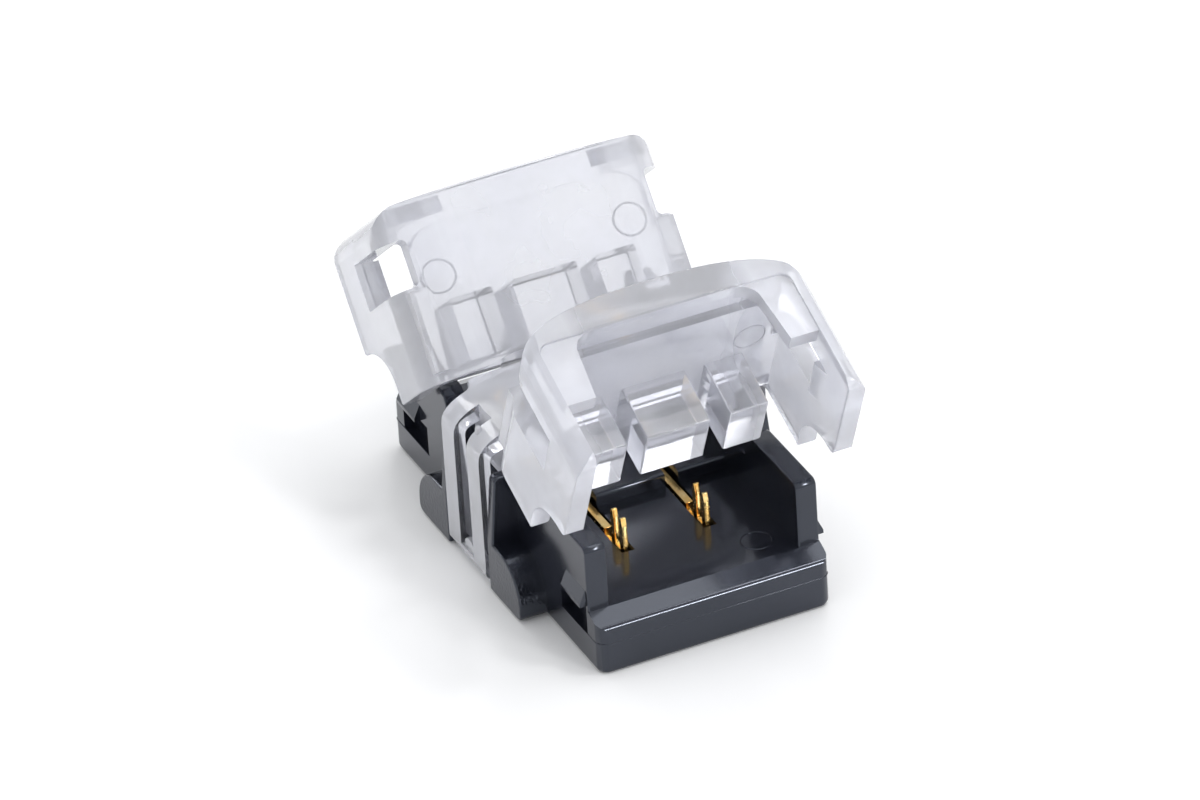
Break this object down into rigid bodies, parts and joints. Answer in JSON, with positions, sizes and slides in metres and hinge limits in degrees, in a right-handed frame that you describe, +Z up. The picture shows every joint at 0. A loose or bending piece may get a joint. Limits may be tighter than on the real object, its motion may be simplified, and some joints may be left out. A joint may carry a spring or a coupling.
{
  "type": "led strip connector",
  "caption": "Splice connector for flat LED strip: a black base with piercing contacts, a clear clip around its middle and a clear snap-down lid at each end.",
  "frame": {"origin": "centre of the base's flat underside", "axes": "+Z up from the underside, +Y along the strip towards the rear lid, +X across the strip"},
  "size_m": [0.0158, 0.0298, 0.0179],
  "materials": {
    "black_moulding": "fairly glossy black",
    "clear_moulding": "clear, with a faint haze",
    "gold_plating": "bright gold plating"
  },
  "bodies": {
    "base": {"housing": "black_moulding", "contact_left": "gold_plating", "contact_right": "gold_plating", "center_clip": "clear_moulding"},
    "front_lid": {"front_lid": "clear_moulding"},
    "rear_lid": {"rear_lid": "clear_moulding"}
  },
  "joints": [
    {"name": "front_lid_hinge", "type": "hinge", "parent": "base", "child": "front_lid", "pos_m": [0, -0.00305, 0.00893], "axis": [-1, 0, 0], "range_deg": [-66.5, 23.5]},
    {"name": "rear_lid_hinge", "type": "hinge", "parent": "base", "child": "rear_lid", "pos_m": [0, 0.00305, 0.00893], "axis": [1, 0, 0], "range_deg": [-49.5, 40.5]}
  ]
}
